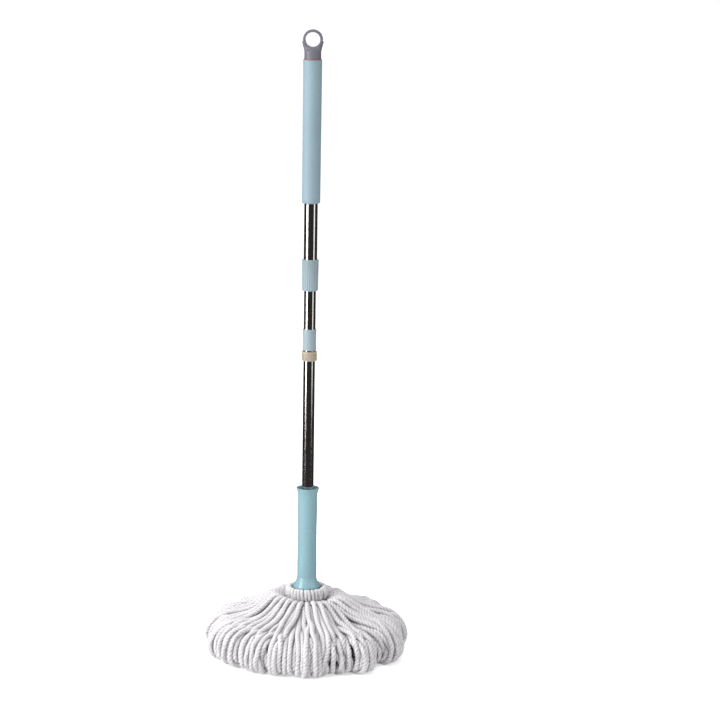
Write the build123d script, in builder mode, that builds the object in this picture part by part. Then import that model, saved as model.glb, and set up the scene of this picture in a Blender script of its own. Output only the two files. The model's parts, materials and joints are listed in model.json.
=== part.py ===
from build123d import *
import os

# Telescopic twist mop, millimetres, +Z up, -Y to the front.
# The origin is on the floor, under the middle of the pole, where the spread yarn rests.
# Heights are built up from the floor: base disc, yarn head, wringer sleeve, catch ring,
# stop collar, lock nut, grip and hanging ring.

# --- Clearances, each side -------------------------------------------------------------
RUN = 0.05  # between pieces that turn or slide on each other
SEAT = 0.05  # between round pieces that are pressed, glued or pinned together
FREE = 0.3  # between pieces that pass each other without touching
ROOM = 2.0  # between a stroke's end and the next piece, and round the tube

# --- Tubes: the lower one sets the radius of everything that is stacked round it ---------
lower_tube_d = 22.0
tube_wall = 0.7
tube_gap = 0.8  # between the lower tube and the inside of the upper one

# --- Base disc under the yarn ----------------------------------------------------------
base_d = 62.0
plate_lift = 3.0  # the disc hangs this far above the floor
plate_t = 6.0
plate_rib_t = 1.6
plate_rib_depth = 2.0
plate_ribs = 8
clamp_t = 5.0
web_t = 5.0  # yarn squeezed between the plate and the clamp
web_bore_gap = 2.5  # between the screw and the yarn
screw_d = 5.0
screw_head_d = 12.0
screw_head_h = 3.0
screw_length = 34.0
plug_flange_t = 3.0
plug_length = 40.0
plug_pin_h = 12.0  # height of the cross pin above the plug's flange
pin_d = 3.0

# --- Yarn head -------------------------------------------------------------------------
head_d = 380.0  # across the spread yarn
yarn_h = 104.5  # top of the yarn, under the rolled neck
rim_t = 62.0  # thickness of the yarn at its rim
shoulder_reach = 21.0  # from the rolled neck out to the heaped shoulder round it
shoulder_rise = 11.0  # how far the shoulder heaps up over the strands at the neck
waist_reach = 0.4  # share of the way from the shoulder to the rim
waist_lift = 0.48  # share of the drop from the shoulder that is still left there
yarn_layer = 8.0  # depth of the strands over and under the hollow between them
strand_length = 366.0  # from the base disc to the rolled neck when the yarn is pulled tight
core_gap = 1.5  # between the inner strands and what is beside them
roll_t = 13.0  # thickness of the rolled neck at its foot
roll_h = 25.2
roll_crest = 6.0
neck_gap = 0.5  # between the rolled neck and the strands that heap up round it
neck_ring_inset = 6.0
neck_ring_wire = 3.0
neck_ring_lift = 11.0

# --- Wringer sleeve and what it carries --------------------------------------------------
collar_lift = 1.2  # the collar's underside above the rolled neck's underside
head_collar_reach = 2.0  # how far the collar stands out of the sleeve's foot
head_collar_h = 19.0
head_collar_wall = 2.5
head_collar_top = 4.0
sleeve_length = 195.0
sleeve_wall = 2.25
mouth_flare = 3.6
mouth_h = 16.0
mouth_wall = 2.0
foot_flare = 7.35
foot_lip_h = 3.0
foot_h = 22.0
land_t = 2.0
land_depth = 1.0
bush_h = 15.0
drive_inset = 16.0  # the drive ring's top below the sleeve's mouth
drive_wall = 1.05
drive_h = 12.0
drive_skirt_h = 2.5

# --- Catch ring, its hub and the stop collar ---------------------------------------------
teeth = 24
ring_h = 17.2
ring_wall = 0.7  # between the ratchet teeth and the grooves
ring_groove = 0.9
ring_groove_w = 2.0
ring_groove_h = 14.0
spline_w = 1.2
hub_wall = 1.05
hub_flange = 0.8
hub_flange_t = 1.5
pawl_depth = 0.5
clip_t = 1.0
clip_seat = 0.5  # how deep the clip sits in the hub
clip_reach = 1.1  # how far the clip stands out of the hub
clip_mouth = 9.0
hub_pin_d = 2.4
stop_gap = 2.6  # bare tube between the catch ring and the stop collar
stop_wall = 1.45
stop_h = 39.6
stop_bead = 0.4
stop_bead_top = 4.0
stop_bead_bottom = 6.0

# --- Telescopic joint --------------------------------------------------------------------
shorten = 70.5
extend = 120.0
nut_h = 59.0
nut_wall = 1.75
nut_taper = 0.5  # how much the nut's radius shrinks from its top to its foot
nut_flutes = 24
flute_r = 0.9
flute_depth = 0.55
nut_lip = 4.0
nut_edge = 3.0
cuff_wall = 1.15  # collet around the upper tube
collet_wall = 1.55  # collet around the lower tube
finger_h = 9.5
finger_slots = 4
finger_slot_w = 1.2
thread_depth = 0.7
thread_bite = 0.35  # how far the nut's thread reaches past the collet's crests
thread_w = 0.7
thread_pitch = 2.0
thread_turns = 5
seat_h = 26.0  # from the nut's underside to the upper tube's end
guide_h = 12.0

# --- Grip and hanging ring ---------------------------------------------------------------
bare_upper = 104.7  # upper tube between the nut and the grip
grip_length = 263.3
grip_top_wall = 5.0
grip_bottom_wall = 4.5
grip_edge = 3.0
trim_reach = 4.25  # how far the trim ring stands out of the upper tube
trim_t = 2.0
neck_reach = 3.0  # how far the cap's neck stands out of the upper tube
cap_neck_h = 14.5
cap_spigot = 32.0
hole_d = 27.0
hole_margin = 7.2  # solid neck between the round neck and the hole
band_top = 4.8
band_side = 6.5
cap_depth = 14.0
cap_edge = 1.6

# --- Radii that follow --------------------------------------------------------------------
lower_r = lower_tube_d / 2
lower_bore_r = lower_r - tube_wall
upper_bore_r = lower_r + tube_gap
upper_r = upper_bore_r + tube_wall
hub_r = lower_r + SEAT + hub_wall
ring_bore_r = hub_r + FREE
ring_r = ring_bore_r + pawl_depth + ring_wall + ring_groove
drive_r = ring_r + FREE + drive_wall
sleeve_bore_r = drive_r + SEAT
body_r = sleeve_bore_r + sleeve_wall
mouth_r = body_r + mouth_flare
foot_r = body_r + foot_flare
collar_bore_r = lower_r + ROOM
collar_r = foot_r + head_collar_reach
roll_r = collar_r + SEAT + roll_t
neck_r = roll_r + neck_gap
base_r = base_d / 2
yarn_bore_r = base_r + ROOM
stop_r = lower_r + SEAT + stop_wall
nut_bore_r = upper_r + SEAT + cuff_wall + RUN
cap_neck_r = upper_r + neck_reach

# --- Heights that follow ------------------------------------------------------------------
plate_top = plate_lift + plate_t
web_top = plate_top + web_t
clamp_top = web_top + clamp_t
tube_bottom = clamp_top + plug_flange_t
roll_bottom = yarn_h + FREE
collar_bottom = roll_bottom + collar_lift
sleeve_bottom = collar_bottom + head_collar_h
sleeve_top = sleeve_bottom + sleeve_length
foot_top = sleeve_bottom + foot_h
drive_top = sleeve_top - drive_inset
drive_bottom = drive_top - drive_h
stroke = strand_length + web_top - web_t / 2 - roll_bottom
ring_bottom = drive_bottom + stroke
ring_top = ring_bottom + ring_h
stop_bottom = ring_top + stop_gap
stop_top = stop_bottom + stop_h
nut_bottom = stop_top + shorten + ROOM
nut_top = nut_bottom + nut_h
upper_tube_bottom = nut_bottom + seat_h
tube_top = upper_tube_bottom + extend + ROOM
grip_bottom = nut_top + bare_upper
grip_top = grip_bottom + grip_length
cap_bottom = grip_top + trim_t
neck_top = cap_bottom + cap_neck_h
hole_height = neck_top + hole_margin + hole_d / 2


def ring_face(height, outer_r, inner_r):
    """Flat ring at a height, to be extruded upwards."""
    with BuildSketch(Plane.XY.offset(height)) as face:
        Circle(outer_r)
        Circle(inner_r, mode=Mode.SUBTRACT)
    return face.sketch


def turned_face(*points):
    """Half section through (radius, height) points, to be revolved about Z."""
    with BuildSketch(Plane.XZ) as section:
        with BuildLine():
            Polyline(*points, close=True)
        make_face()
    return section.sketch


def save(piece, name):
    """Label a finished piece and write its STEP file."""
    piece.part.label = name
    export_step(piece.part, f"parts/{name}.step")


def cross_hole(height, radius, reach):
    """Face on the YZ plane for a pin that runs along X."""
    with BuildSketch(Plane.YZ.offset(-reach)) as face:
        with Locations((0, height)):
            Circle(radius)
    return face.sketch


os.makedirs("parts", exist_ok=True)

# --- Lower tube ---------------------------------------------------------------------------
hub_pin_height = ring_bottom + ring_h / 2
stop_pin_height = stop_bottom + stop_h / 2
plug_pin_height = tube_bottom + plug_pin_h
with BuildPart() as lower_tube:
    extrude(ring_face(tube_bottom, lower_r, lower_bore_r), amount=tube_top - tube_bottom)
    for height, diameter in (
        (plug_pin_height, pin_d),
        (hub_pin_height, hub_pin_d),
        (stop_pin_height, pin_d),
    ):
        hole = cross_hole(height, diameter / 2 + SEAT, lower_r)
        extrude(hole, amount=2 * lower_r, mode=Mode.SUBTRACT)
save(lower_tube, "lower_tube")

# --- Guide plug: closes the lower tube and slides in the upper one ---------------------------
with BuildPart() as guide_plug:
    plug_bore_r = lower_bore_r - 2 * tube_wall
    extrude(ring_face(tube_top - guide_h, lower_bore_r - SEAT, plug_bore_r), amount=guide_h)
    extrude(ring_face(tube_top, upper_bore_r - RUN, plug_bore_r), amount=guide_h)
    chamfer(guide_plug.edges().group_by(Axis.Z)[-1].sort_by(SortBy.RADIUS)[-1], tube_wall)
save(guide_plug, "guide_plug")

# --- End plug: closes the tube's lower end and takes the base screw ---------------------------
with BuildPart() as end_plug:
    extrude(ring_face(clamp_top, lower_r, screw_d / 2 + SEAT), amount=plug_flange_t)
    extrude(
        ring_face(tube_bottom, lower_bore_r - SEAT, screw_d / 2 + SEAT),
        amount=plug_length,
    )
    plug_hole = cross_hole(plug_pin_height, pin_d / 2 + SEAT, lower_r)
    extrude(plug_hole, amount=2 * lower_r, mode=Mode.SUBTRACT)
    chamfer(end_plug.edges().group_by(Axis.Z)[-1].sort_by(SortBy.RADIUS)[-1], tube_wall)
save(end_plug, "end_plug")

# --- Plug pins: two short pins, one each side of the base screw -------------------------------
with BuildPart() as plug_pins:
    pin_start = screw_d / 2 + ROOM
    for side in (-1, 1):
        with BuildSketch(Plane.YZ.offset(side * pin_start)) as pin_face:
            with Locations((0, plug_pin_height)):
                Circle(pin_d / 2)
        extrude(pin_face.sketch, amount=side * (lower_r - pin_start))
save(plug_pins, "plug_pins")

# --- Base clamp: upper disc that squeezes the yarn --------------------------------------------
with BuildPart() as base_clamp:
    extrude(ring_face(web_top, base_r - RUN, screw_d / 2 + SEAT), amount=clamp_t)
    fillet(base_clamp.edges().group_by(Axis.Z)[-1].sort_by(SortBy.RADIUS)[-1], clamp_t / 4)
save(base_clamp, "base_clamp")

# --- Base plate: dark disc with ribs and a pocket for the screw's head -------------------------
with BuildPart() as base_plate:
    extrude(ring_face(plate_lift, base_r, screw_d / 2 + SEAT), amount=plate_t)
    fillet(base_plate.edges().group_by(Axis.Z)[0].sort_by(SortBy.RADIUS)[-1], plate_t / 4)
    pocket_r = screw_head_d / 2 + FREE
    boss_r = pocket_r + plate_rib_t
    rim_r = base_r - 2 * plate_rib_t
    extrude(ring_face(plate_lift, rim_r, boss_r), amount=plate_rib_depth, mode=Mode.SUBTRACT)
    with BuildSketch(Plane.XY.offset(plate_lift)):
        with PolarLocations((rim_r + boss_r) / 2, plate_ribs):
            Rectangle(rim_r - boss_r + plate_rib_t, plate_rib_t)
    extrude(amount=plate_rib_depth)
    extrude(
        ring_face(plate_lift, pocket_r, screw_d / 2),
        amount=screw_head_h + FREE,
        mode=Mode.SUBTRACT,
    )
save(base_plate, "base_plate")

# --- Base screw: joins plate, yarn, clamp and end plug -----------------------------------------
head_top = plate_lift + screw_head_h + FREE
with BuildPart() as base_screw:
    with BuildSketch(Plane.XY.offset(head_top - screw_head_h)):
        Circle(screw_head_d / 2)
    extrude(amount=screw_head_h)
    fillet(base_screw.edges().group_by(Axis.Z)[0], screw_head_h / 3)
    with BuildSketch(Plane.XY.offset(head_top)):
        Circle(screw_d / 2)
    extrude(amount=screw_length)
    slot_bottom = Plane.XY.offset(head_top - screw_head_h)
    with BuildSketch(slot_bottom):
        Rectangle(screw_head_d / 2, screw_head_h / 3)
        Rectangle(screw_head_h / 3, screw_head_d / 2)
    extrude(amount=screw_head_h / 2, mode=Mode.SUBTRACT)
save(base_screw, "base_screw")

# --- Yarn skirt: the strands that spread over the floor, with the web under the clamp ----------
bulge_r = rim_t / 2
crown_end = (head_d / 2 - bulge_r, rim_t)
floor_end = (head_d / 2 - bulge_r, 0)
shoulder = (roll_r + shoulder_reach, yarn_h + shoulder_rise)
waist = (
    shoulder[0] + waist_reach * (crown_end[0] - shoulder[0]),
    rim_t + waist_lift * (shoulder[1] - rim_t),
)
web_bore_r = screw_d / 2 + web_bore_gap
with BuildPart() as yarn_skirt:
    with BuildSketch(Plane.XZ):
        with BuildLine():
            Spline((neck_r, yarn_h), shoulder, waist, crown_end, tangents=((0.5, 1), (1, -0.3)))
            ThreePointArc(crown_end, (head_d / 2, bulge_r), floor_end)
            Polyline(
                floor_end,
                (yarn_bore_r, 0),
                (yarn_bore_r, plate_top),
                (web_bore_r, plate_top),
                (web_bore_r, web_top),
                (yarn_bore_r, web_top),
                (yarn_bore_r, yarn_h),
                (neck_r, yarn_h),
            )
        make_face()
    revolve(axis=Axis.Z)
    hollow_r = bulge_r - yarn_layer
    hollow_start = yarn_bore_r + yarn_layer
    hollow_top = (crown_end[0], rim_t - yarn_layer)
    hollow_floor = (floor_end[0], yarn_layer)
    hollow_h = yarn_h - 1.2 * yarn_layer
    with BuildSketch(Plane.XZ):
        with BuildLine():
            Spline(
                (neck_r, hollow_h),
                hollow_top,
                tangents=((1, -0.35), (1, -0.15)),
            )
            ThreePointArc(hollow_top, (crown_end[0] + hollow_r, bulge_r), hollow_floor)
            Polyline(
                hollow_floor,
                (hollow_start, yarn_layer),
                (hollow_start, hollow_h),
                (neck_r, hollow_h),
            )
        make_face()
    revolve(axis=Axis.Z, mode=Mode.SUBTRACT)
save(yarn_skirt, "yarn_skirt")

# --- Yarn core: the strands inside, round the tube ----------------------------------------------
with BuildPart() as yarn_core:
    core_bottom = clamp_top + FREE
    core_face = ring_face(core_bottom, yarn_bore_r - core_gap, lower_r + core_gap)
    extrude(core_face, amount=yarn_h - core_bottom)
save(yarn_core, "yarn_core")

# --- Stop collar: two beads and a plain middle, pinned to the lower tube --------------------------
with BuildPart() as stop_collar:
    extrude(ring_face(stop_bottom, stop_r, lower_r + SEAT), amount=stop_h)
    bead_r = stop_r + stop_bead
    extrude(ring_face(stop_bottom, bead_r, lower_r + SEAT), amount=stop_bead_bottom)
    upper_bead = ring_face(stop_top - stop_bead_top, bead_r, lower_r + SEAT)
    extrude(upper_bead, amount=stop_bead_top)
    bead_edges = stop_collar.edges().filter_by(GeomType.CIRCLE).filter_by(
        lambda edge: abs(edge.radius - bead_r) < stop_bead / 2
    )
    chamfer(bead_edges, stop_bead / 2)
    stop_hole = cross_hole(stop_pin_height, pin_d / 2 + SEAT, bead_r)
    extrude(stop_hole, amount=2 * bead_r, mode=Mode.SUBTRACT)
save(stop_collar, "stop_collar")

with BuildPart() as collar_pin:
    extrude(cross_hole(stop_pin_height, pin_d / 2, stop_r), amount=2 * stop_r)
save(collar_pin, "collar_pin")

# --- Ratchet hub: pinned to the lower tube, with two pawls and a flange under the ring ------------
with BuildPart() as ratchet_hub:
    extrude(ring_face(ring_bottom, hub_r, lower_r + SEAT), amount=ring_h)
    flange_bottom = ring_bottom + RUN
    extrude(
        ring_face(flange_bottom, hub_r + hub_flange, lower_r + SEAT), amount=hub_flange_t
    )
    clip_bottom = ring_top - 2 * clip_t + FREE
    clip_groove = ring_face(clip_bottom - RUN, hub_r, hub_r - clip_seat)
    extrude(clip_groove, amount=clip_t + 2 * RUN, mode=Mode.SUBTRACT)
    pawl_bottom = flange_bottom + hub_flange_t
    with BuildSketch(Plane.XY.offset(pawl_bottom)):
        with PolarLocations(hub_r, 2):
            Polygon(
                (-FREE, -1.0), (FREE + 0.6 * pawl_depth, -1.0), (-FREE, 1.0), align=None
            )
    extrude(amount=ring_h / 2)
    hub_hole = cross_hole(hub_pin_height, hub_pin_d / 2 + SEAT, hub_r)
    extrude(hub_hole, amount=2 * hub_r, mode=Mode.SUBTRACT)
save(ratchet_hub, "ratchet_hub")

with BuildPart() as hub_pin:
    hub_pin_reach = hub_r - SEAT
    extrude(cross_hole(hub_pin_height, hub_pin_d / 2, hub_pin_reach), amount=2 * hub_pin_reach)
save(hub_pin, "hub_pin")

# --- Ring clip: open spring clip over the catch ring's inner step ---------------------------------
with BuildPart() as ring_clip:
    clip_r = hub_r + clip_reach
    extrude(ring_face(clip_bottom, clip_r, hub_r - clip_seat + SEAT), amount=clip_t)
    with BuildSketch(Plane.XY.offset(clip_bottom)):
        with Locations((0, clip_r)):
            Rectangle(clip_mouth, clip_r)
    extrude(amount=clip_t, mode=Mode.SUBTRACT)
save(ring_clip, "ring_clip")

# --- Catch ring: grooves outside for the sleeve, ratchet teeth inside for the pawls ----------------
with BuildPart() as ratchet_ring:
    extrude(ring_face(ring_bottom, ring_r, ring_bore_r), amount=ring_h)
    extrude(
        ring_face(ring_bottom, hub_r + hub_flange + RUN, ring_bore_r),
        amount=hub_flange_t + 2 * RUN,
        mode=Mode.SUBTRACT,
    )
    clip_recess = ring_face(clip_bottom - FREE, clip_r + RUN, ring_bore_r)
    extrude(clip_recess, amount=ring_h, mode=Mode.SUBTRACT)
    with BuildSketch(Plane.XY.offset(ring_bottom)):
        with PolarLocations(ring_bore_r, teeth):
            Polygon((-FREE, -1.2), (pawl_depth, -1.2), (-FREE / 3, 1.2), align=None)
    extrude(amount=ring_h, mode=Mode.SUBTRACT)
    with BuildSketch(Plane.XY.offset(ring_bottom)):
        with PolarLocations(ring_r, teeth):
            Rectangle(2 * ring_groove, ring_groove_w)
    extrude(amount=ring_groove_h, mode=Mode.SUBTRACT)
save(ratchet_ring, "ratchet_ring")

# --- Sleeve: flared foot, long body and funnel mouth, with two lands inside -------------------------
lip_top = sleeve_bottom + foot_lip_h
mouth_start = sleeve_top - mouth_h
foot_wall_r = foot_r - sleeve_wall
mouth_bore_r = mouth_r - mouth_wall
with BuildPart() as sleeve:
    with BuildSketch(Plane.XZ):
        with BuildLine():
            Line((foot_r, sleeve_bottom), (foot_r, lip_top))
            Spline((foot_r, lip_top), (body_r, foot_top), tangents=((-0.5, 1), (0, 1)))
            Line((body_r, foot_top), (body_r, mouth_start))
            Spline((body_r, mouth_start), (mouth_r, sleeve_top), tangents=((0, 1), (0.4, 1)))
            Line((mouth_r, sleeve_top), (mouth_bore_r, sleeve_top))
            Line((mouth_bore_r, sleeve_top), (sleeve_bore_r, drive_top + RUN))
            Line((sleeve_bore_r, drive_top + RUN), (sleeve_bore_r, foot_top))
            Line((sleeve_bore_r, foot_top), (foot_wall_r, lip_top))
            Line((foot_wall_r, lip_top), (foot_wall_r, sleeve_bottom))
            Line((foot_wall_r, sleeve_bottom), (foot_r, sleeve_bottom))
        make_face()
    revolve(axis=Axis.Z)
    rim = sleeve.edges().group_by(Axis.Z)[-1]
    fillet(rim, mouth_wall / 3)
    bush_top = drive_bottom - drive_skirt_h - FREE
    lower_bush_bottom = foot_top + ROOM + FREE
    upper_land = bush_top - bush_h - FREE - land_t
    lower_land = lower_bush_bottom + bush_h + FREE
    for land in (lower_land, upper_land):
        land_face = ring_face(land, sleeve_bore_r + sleeve_wall / 2, sleeve_bore_r - land_depth)
        extrude(land_face, amount=land_t)
save(sleeve, "sleeve")

# --- Drive ring: splines that drop into the catch ring's grooves -------------------------------------
with BuildPart() as drive_ring:
    ring_clear_r = ring_r + FREE
    skirt_bottom = drive_bottom - drive_skirt_h
    extrude(ring_face(skirt_bottom, drive_r, ring_clear_r), amount=drive_skirt_h + drive_h)
    spline_tip_r = ring_r - ring_groove + FREE
    with BuildSketch(Plane.XY.offset(drive_bottom)):
        with PolarLocations((spline_tip_r + drive_r) / 2, teeth):
            Rectangle(drive_r - spline_tip_r - 2 * SEAT, spline_w)
    extrude(amount=drive_h)
save(drive_ring, "drive_ring")

# --- Bushes: slide on the tube while the sleeve turns on them ------------------------------------------
bush_r = sleeve_bore_r - RUN
with BuildPart() as upper_bush:
    extrude(ring_face(bush_top - bush_h, bush_r, lower_r + RUN), amount=bush_h)
save(upper_bush, "upper_bush")

with BuildPart() as lower_bush:
    extrude(ring_face(lower_bush_bottom, bush_r, lower_r + RUN), amount=bush_h)
save(lower_bush, "lower_bush")

# --- Head collar: turned-down cup under the sleeve's foot, with a spigot into the sleeve --------------
with BuildPart() as head_collar:
    spigot_r = sleeve_bore_r - SEAT
    extrude(ring_face(collar_bottom, collar_r, collar_bore_r), amount=head_collar_h)
    recess_face = ring_face(collar_bottom, collar_r - head_collar_wall, spigot_r)
    extrude(recess_face, amount=head_collar_h - head_collar_top, mode=Mode.SUBTRACT)
    spigot_face = ring_face(sleeve_bottom, spigot_r, collar_bore_r)
    extrude(spigot_face, amount=lower_bush_bottom - FREE - sleeve_bottom)
    outer_rims = head_collar.edges().filter_by(GeomType.CIRCLE).filter_by(
        lambda edge: abs(edge.radius - collar_r) < RUN
    )
    fillet(outer_rims, head_collar_wall / 5)
save(head_collar, "head_collar")

# --- Rolled neck of yarn and the hoop inside it -----------------------------------------------------------
hoop_r = collar_r + neck_ring_inset
hoop_height = roll_bottom + neck_ring_lift
with BuildPart() as neck_roll:
    roll_top = roll_bottom + roll_h
    inner_r = collar_r + SEAT
    with BuildSketch(Plane.XZ):
        with BuildLine():
            Polyline(
                (inner_r, roll_top),
                (inner_r, roll_bottom),
                (roll_r, roll_bottom),
                (roll_r, roll_bottom + roll_crest),
            )
            Spline(
                (roll_r, roll_bottom + roll_crest),
                (inner_r + roll_crest, roll_top - roll_crest / 2),
                (inner_r, roll_top),
                tangents=((0, 1), (-1, 0)),
            )
        make_face()
    revolve(axis=Axis.Z)
    with BuildSketch(Plane.XZ):
        with Locations((hoop_r, hoop_height)):
            Circle(neck_ring_wire / 2 + SEAT)
    revolve(axis=Axis.Z, mode=Mode.SUBTRACT)
save(neck_roll, "neck_roll")

with BuildPart() as neck_ring:
    with BuildSketch(Plane.XZ):
        with Locations((hoop_r, hoop_height)):
            Circle(neck_ring_wire / 2)
    revolve(axis=Axis.Z)
save(neck_ring, "neck_ring")

# --- Upper tube -----------------------------------------------------------------------------------------------
with BuildPart() as upper_tube:
    tube_face = ring_face(upper_tube_bottom, upper_r, upper_bore_r)
    extrude(tube_face, amount=grip_top - upper_tube_bottom)
save(upper_tube, "upper_tube")

# --- Collet: glued on the upper tube, with a thread and four fingers that grip the lower tube ------------------
finger_bottom = nut_bottom + nut_lip + FREE
thread_bottom = finger_bottom + finger_h
collet_bore_r = lower_r + RUN
collet_r = lower_r + collet_wall
cuff_r = upper_r + SEAT + cuff_wall
cuff_top = nut_top - 2 * FREE
with BuildPart() as collet:
    revolve(
        turned_face(
            (collet_bore_r, finger_bottom),
            (collet_r - thread_depth, finger_bottom),
            (collet_r, thread_bottom),
            (collet_r, upper_tube_bottom - collet_wall),
            (cuff_r, upper_tube_bottom - collet_wall / 2),
            (cuff_r, cuff_top),
            (upper_r + SEAT, cuff_top),
            (upper_r + SEAT, upper_tube_bottom),
            (collet_bore_r, upper_tube_bottom),
        ),
        axis=Axis.Z,
    )
    for turn in range(thread_turns):
        crest = ring_face(
            thread_bottom + turn * thread_pitch, collet_r + thread_depth, collet_bore_r
        )
        extrude(crest, amount=thread_w)
    with BuildSketch(Plane.XY.offset(finger_bottom)):
        with PolarLocations(collet_r, finger_slots):
            Rectangle(2 * collet_wall + thread_depth, finger_slot_w)
    extrude(amount=finger_h, mode=Mode.SUBTRACT)
save(collet, "collet")

# --- Lock nut: fluted outside, closing cone and thread inside ---------------------------------------------------
nut_bore_start = thread_bottom - thread_w
nut_r = nut_bore_r + nut_wall
with BuildPart() as lock_nut:
    with BuildSketch(Plane.XZ):
        with BuildLine():
            Polyline(
                (lower_r + FREE + RUN, nut_bottom),
                (nut_r - nut_taper, nut_bottom),
                (nut_r, nut_top),
                (nut_bore_r, nut_top),
                (nut_bore_r, nut_bore_start),
                (collet_r + FREE, nut_bore_start),
                (collet_r - thread_depth + FREE, nut_bottom + nut_lip),
                (lower_r + FREE + RUN, nut_bottom + nut_lip),
                close=True,
            )
        make_face()
    revolve(axis=Axis.Z)
    lower_rim = lock_nut.edges().group_by(Axis.Z)[0].sort_by(SortBy.RADIUS)[-1]
    fillet(lower_rim, nut_edge)
    upper_rim = lock_nut.edges().group_by(Axis.Z)[-1].sort_by(SortBy.RADIUS)[-1]
    fillet(upper_rim, nut_edge / 4)
    with BuildSketch(Plane.XY.offset(nut_bottom)):
        with PolarLocations(nut_r - nut_taper + flute_r - flute_depth, nut_flutes):
            Circle(flute_r)
    extrude(amount=nut_h, mode=Mode.SUBTRACT)
    for turn in range(thread_turns - 1):
        nut_thread = ring_face(
            thread_bottom + (turn + 0.5) * thread_pitch,
            nut_bore_r + thread_w,
            collet_r + thread_depth - thread_bite,
        )
        extrude(nut_thread, amount=thread_w)
save(lock_nut, "lock_nut")

# --- Grip ---------------------------------------------------------------------------------------------------------
with BuildPart() as grip:
    revolve(
        turned_face(
            (upper_r + SEAT, grip_bottom),
            (upper_r + grip_bottom_wall, grip_bottom),
            (upper_r + grip_top_wall, grip_top),
            (upper_r + SEAT, grip_top),
        ),
        axis=Axis.Z,
    )
    grip_ends = grip.edges().group_by(Axis.Z)
    fillet(grip_ends[0].sort_by(SortBy.RADIUS)[-1], grip_edge)
    fillet(grip_ends[-1].sort_by(SortBy.RADIUS)[-1], grip_edge / 4)
save(grip, "grip")

# --- Trim ring under the hanging cap ----------------------------------------------------------------------------------
with BuildPart() as trim_ring:
    trim_face = ring_face(grip_top, upper_r + trim_reach, upper_bore_r)
    extrude(trim_face, amount=trim_t)
    trim_rims = trim_ring.edges().filter_by(GeomType.CIRCLE).sort_by(SortBy.RADIUS)
    fillet(trim_rims[-2:], trim_t / 4)
save(trim_ring, "trim_ring")

# --- Hanging cap: spigot, round neck and flat ring with its hole along Y -----------------------------------------------
flat_height = neck_top + hole_margin - FREE
shoulder_height = hole_height - hole_d / 8
corner_r = cap_depth / 2 - RUN
flat_w = 2 * cap_neck_r + hole_margin / 2
with BuildPart() as ring_band:
    with BuildSketch(Plane.XZ.offset(-cap_depth / 2)):
        with Locations((0, hole_height)):
            Circle(hole_d / 2 + band_top)
    extrude(amount=cap_depth)
    fillet(ring_band.edges().filter_by(GeomType.CIRCLE), cap_edge)

with BuildPart() as hanging_cap:
    plug_r = upper_bore_r - SEAT
    extrude(
        ring_face(cap_bottom - trim_t - cap_spigot, plug_r, plug_r - 3 * tube_wall),
        amount=cap_spigot,
    )
    with BuildSketch(Plane.XY.offset(cap_bottom - trim_t)):
        Circle(plug_r)
    extrude(amount=trim_t)
    with BuildSketch(Plane.XY.offset(cap_bottom)):
        Circle(cap_neck_r)
    extrude(amount=cap_neck_h)
    with BuildSketch(Plane.XY.offset(neck_top)):
        Circle(cap_neck_r)
    with BuildSketch(Plane.XY.offset(flat_height)):
        RectangleRounded(flat_w, cap_depth, corner_r)
    loft()
    with BuildSketch(Plane.XY.offset(flat_height)):
        RectangleRounded(flat_w, cap_depth, corner_r)
    with BuildSketch(Plane.XY.offset(shoulder_height)):
        RectangleRounded(hole_d + 2 * band_side, cap_depth, corner_r)
    loft()
    add(ring_band.part)
    with BuildSketch(Plane.XZ.offset(-cap_depth)):
        with Locations((0, hole_height)):
            Circle(hole_d / 2)
    extrude(amount=2 * cap_depth, mode=Mode.SUBTRACT)
save(hanging_cap, "hanging_cap")

print(f"height {hole_height + hole_d / 2 + band_top:.1f}, stroke {stroke:.1f}, catch ring at {ring_bottom:.1f}")
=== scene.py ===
"""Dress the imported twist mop: steel tubes, moulded plastics and a spread head of twisted yarn."""

import json
import logging
import math
import random
from collections.abc import Callable, Sequence
from dataclasses import dataclass, field
from enum import Enum

import bmesh
import bpy
import numpy as np
from mathutils import Matrix, Vector
from mathutils.kdtree import KDTree


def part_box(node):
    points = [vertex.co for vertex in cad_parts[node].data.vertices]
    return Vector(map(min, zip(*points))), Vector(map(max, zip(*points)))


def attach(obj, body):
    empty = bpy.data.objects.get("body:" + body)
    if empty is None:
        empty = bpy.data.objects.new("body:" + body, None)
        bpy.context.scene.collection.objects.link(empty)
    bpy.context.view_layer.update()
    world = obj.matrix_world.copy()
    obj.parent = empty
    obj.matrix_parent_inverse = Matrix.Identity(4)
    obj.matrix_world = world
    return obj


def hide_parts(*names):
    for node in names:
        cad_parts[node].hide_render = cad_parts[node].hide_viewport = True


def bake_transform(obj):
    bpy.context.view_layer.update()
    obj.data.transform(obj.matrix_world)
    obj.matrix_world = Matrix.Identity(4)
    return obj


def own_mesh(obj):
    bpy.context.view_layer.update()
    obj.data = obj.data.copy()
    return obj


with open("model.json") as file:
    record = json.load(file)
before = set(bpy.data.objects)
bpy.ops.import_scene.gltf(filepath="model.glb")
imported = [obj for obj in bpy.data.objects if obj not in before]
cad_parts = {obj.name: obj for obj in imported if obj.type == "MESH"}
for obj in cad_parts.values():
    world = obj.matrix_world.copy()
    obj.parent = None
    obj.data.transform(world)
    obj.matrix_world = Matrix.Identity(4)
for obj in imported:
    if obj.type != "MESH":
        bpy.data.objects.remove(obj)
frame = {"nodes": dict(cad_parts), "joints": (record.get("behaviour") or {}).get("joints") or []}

log = logging.getLogger("twist_mop")
MM = 0.001
TURN = 2.0 * math.pi
Colour = tuple[float, float, float]
MIX_FACTOR, MIX_FIRST, MIX_SECOND, MIX_RESULT = 0, 6, 7, 2


# --- Node helpers and shared effects -----------------------------------------------------


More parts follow.
